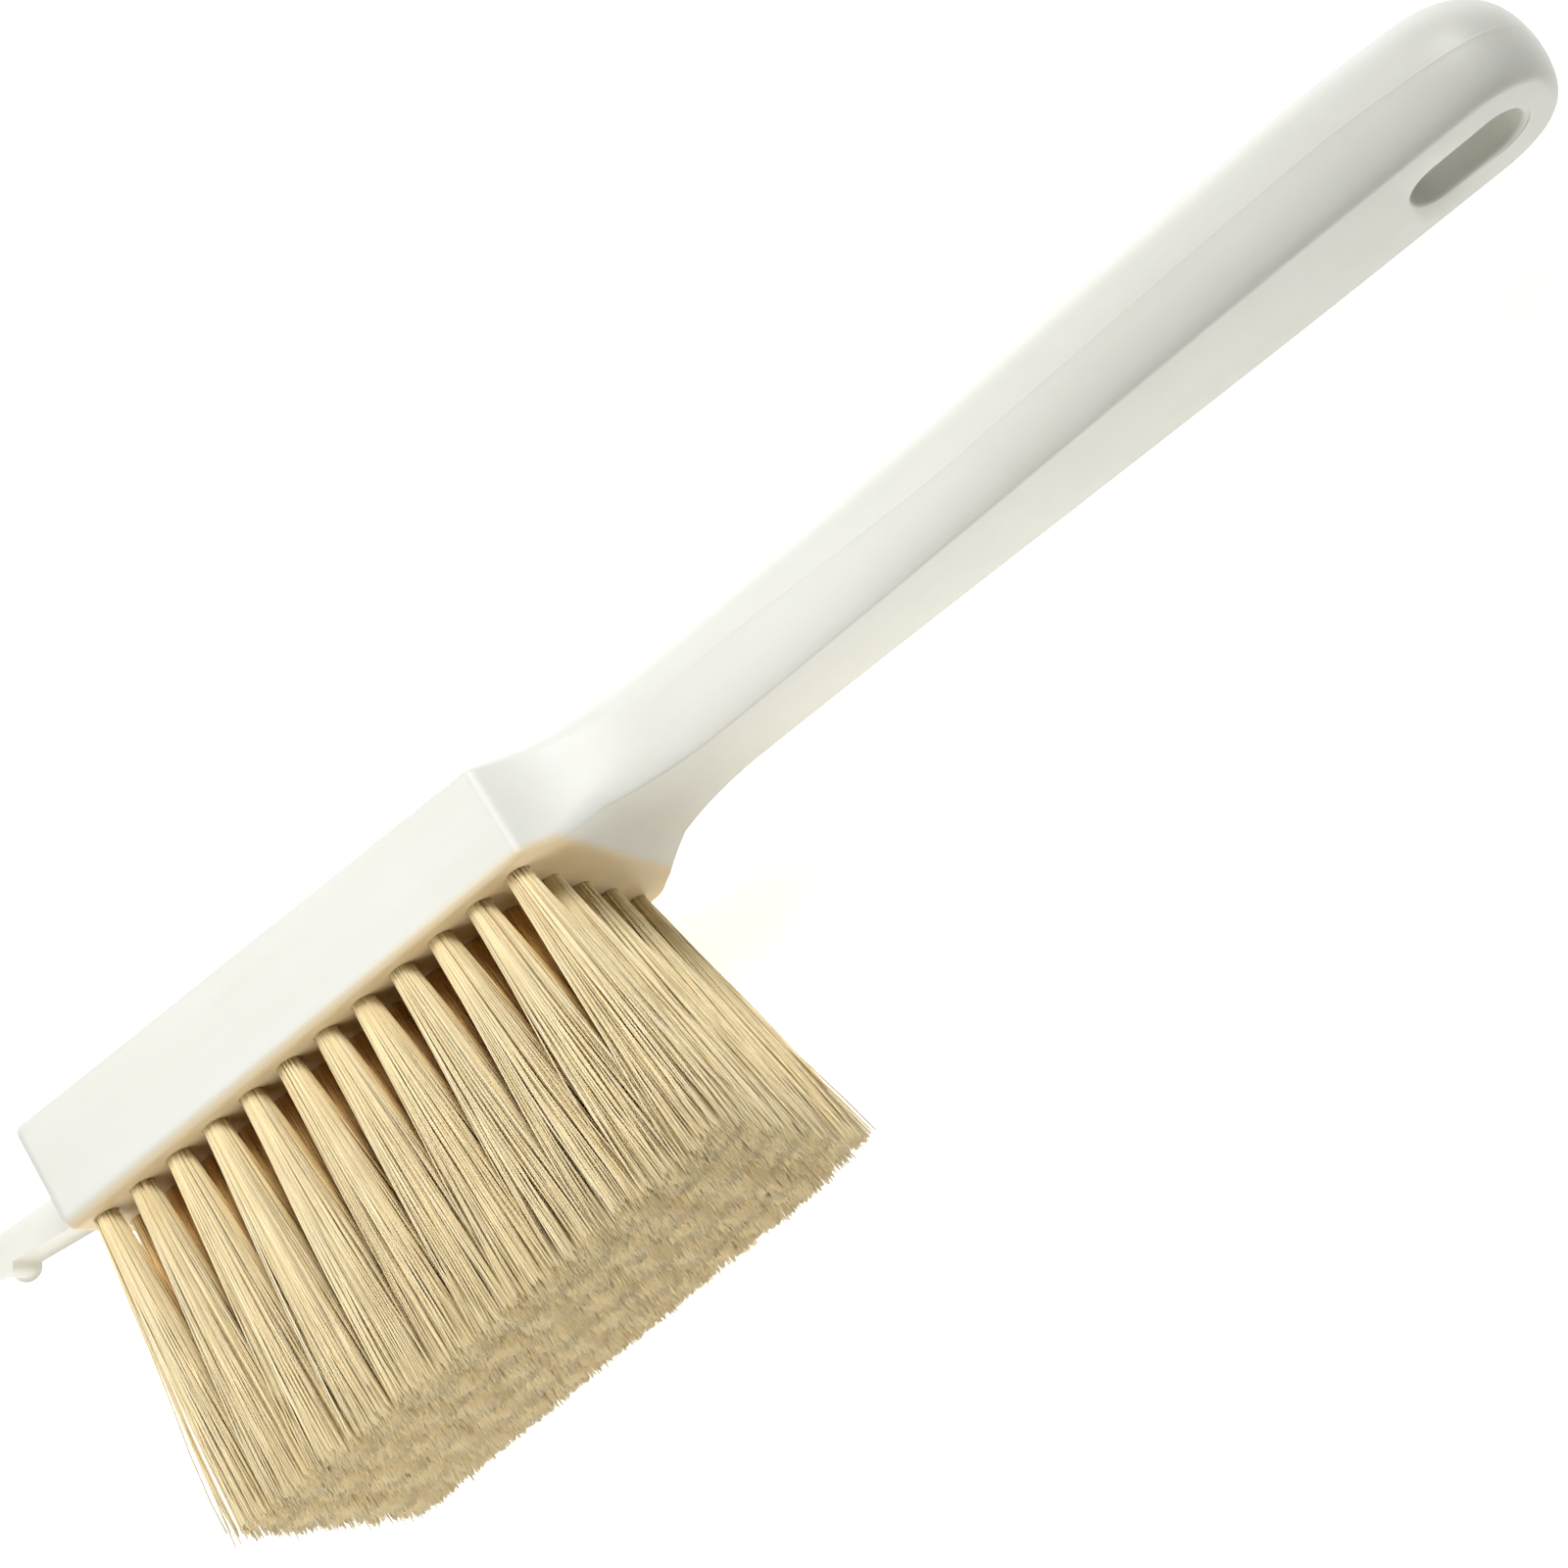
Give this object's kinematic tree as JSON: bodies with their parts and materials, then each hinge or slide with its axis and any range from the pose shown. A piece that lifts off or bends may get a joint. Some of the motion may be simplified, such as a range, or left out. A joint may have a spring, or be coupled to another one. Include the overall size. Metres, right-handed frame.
{
  "type": "bee brush",
  "caption": "Hand brush for sweeping bees off combs: pale plastic block and handle moulded in one, long cream bristle tufts in five rows, a hanging hole and a pan hook.",
  "frame": {"origin": "on the block's flat back, behind the middle of the tuft pattern", "axes": "+X along the handle to the hanging end, +Y out of the flat back so the bristles point to -Y, +Z across the brush"},
  "size_m": [0.3504, 0.0976, 0.0622],
  "materials": {
    "white_plastic": "semi-gloss moulded",
    "cream_bristle": "matte fibre"
  },
  "bodies": {
    "root": {"handle_block": "white_plastic", "tuft_r1_c01": "cream_bristle", "tuft_r1_c02": "cream_bristle", "tuft_r1_c03": "cream_bristle", "tuft_r1_c04": "cream_bristle", "tuft_r1_c05": "cream_bristle", "tuft_r1_c06": "cream_bristle", "tuft_r1_c07": "cream_bristle", "tuft_r1_c08": "cream_bristle", "tuft_r1_c09": "cream_bristle", "tuft_r1_c10": "cream_bristle", "tuft_r1_c11": "cream_bristle", "tuft_r1_c12": "cream_bristle", "tuft_r2_c01": "cream_bristle", "tuft_r2_c02": "cream_bristle", "tuft_r2_c03": "cream_bristle", "tuft_r2_c04": "cream_bristle", "tuft_r2_c05": "cream_bristle", "tuft_r2_c06": "cream_bristle", "tuft_r2_c07": "cream_bristle", "tuft_r2_c08": "cream_bristle", "tuft_r2_c09": "cream_bristle", "tuft_r2_c10": "cream_bristle", "tuft_r2_c11": "cream_bristle", "tuft_r2_c12": "cream_bristle", "tuft_r3_c01": "cream_bristle", "tuft_r3_c02": "cream_bristle", "tuft_r3_c03": "cream_bristle", "tuft_r3_c04": "cream_bristle", "tuft_r3_c05": "cream_bristle", "tuft_r3_c06": "cream_bristle", "tuft_r3_c07": "cream_bristle", "tuft_r3_c08": "cream_bristle", "tuft_r3_c09": "cream_bristle", "tuft_r3_c10": "cream_bristle", "tuft_r3_c11": "cream_bristle", "tuft_r4_c01": "cream_bristle", "tuft_r4_c02": "cream_bristle", "tuft_r4_c03": "cream_bristle", "tuft_r4_c04": "cream_bristle", "tuft_r4_c05": "cream_bristle", "tuft_r4_c06": "cream_bristle", "tuft_r4_c07": "cream_bristle", "tuft_r4_c08": "cream_bristle", "tuft_r4_c09": "cream_bristle", "tuft_r4_c10": "cream_bristle", "tuft_r4_c11": "cream_bristle", "tuft_r4_c12": "cream_bristle", "tuft_r5_c01": "cream_bristle", "tuft_r5_c02": "cream_bristle", "tuft_r5_c03": "cream_bristle", "tuft_r5_c04": "cream_bristle", "tuft_r5_c05": "cream_bristle", "tuft_r5_c06": "cream_bristle", "tuft_r5_c07": "cream_bristle", "tuft_r5_c08": "cream_bristle", "tuft_r5_c09": "cream_bristle", "tuft_r5_c10": "cream_bristle", "tuft_r5_c11": "cream_bristle", "tuft_r5_c12": "cream_bristle"}
  },
  "joints": []
}
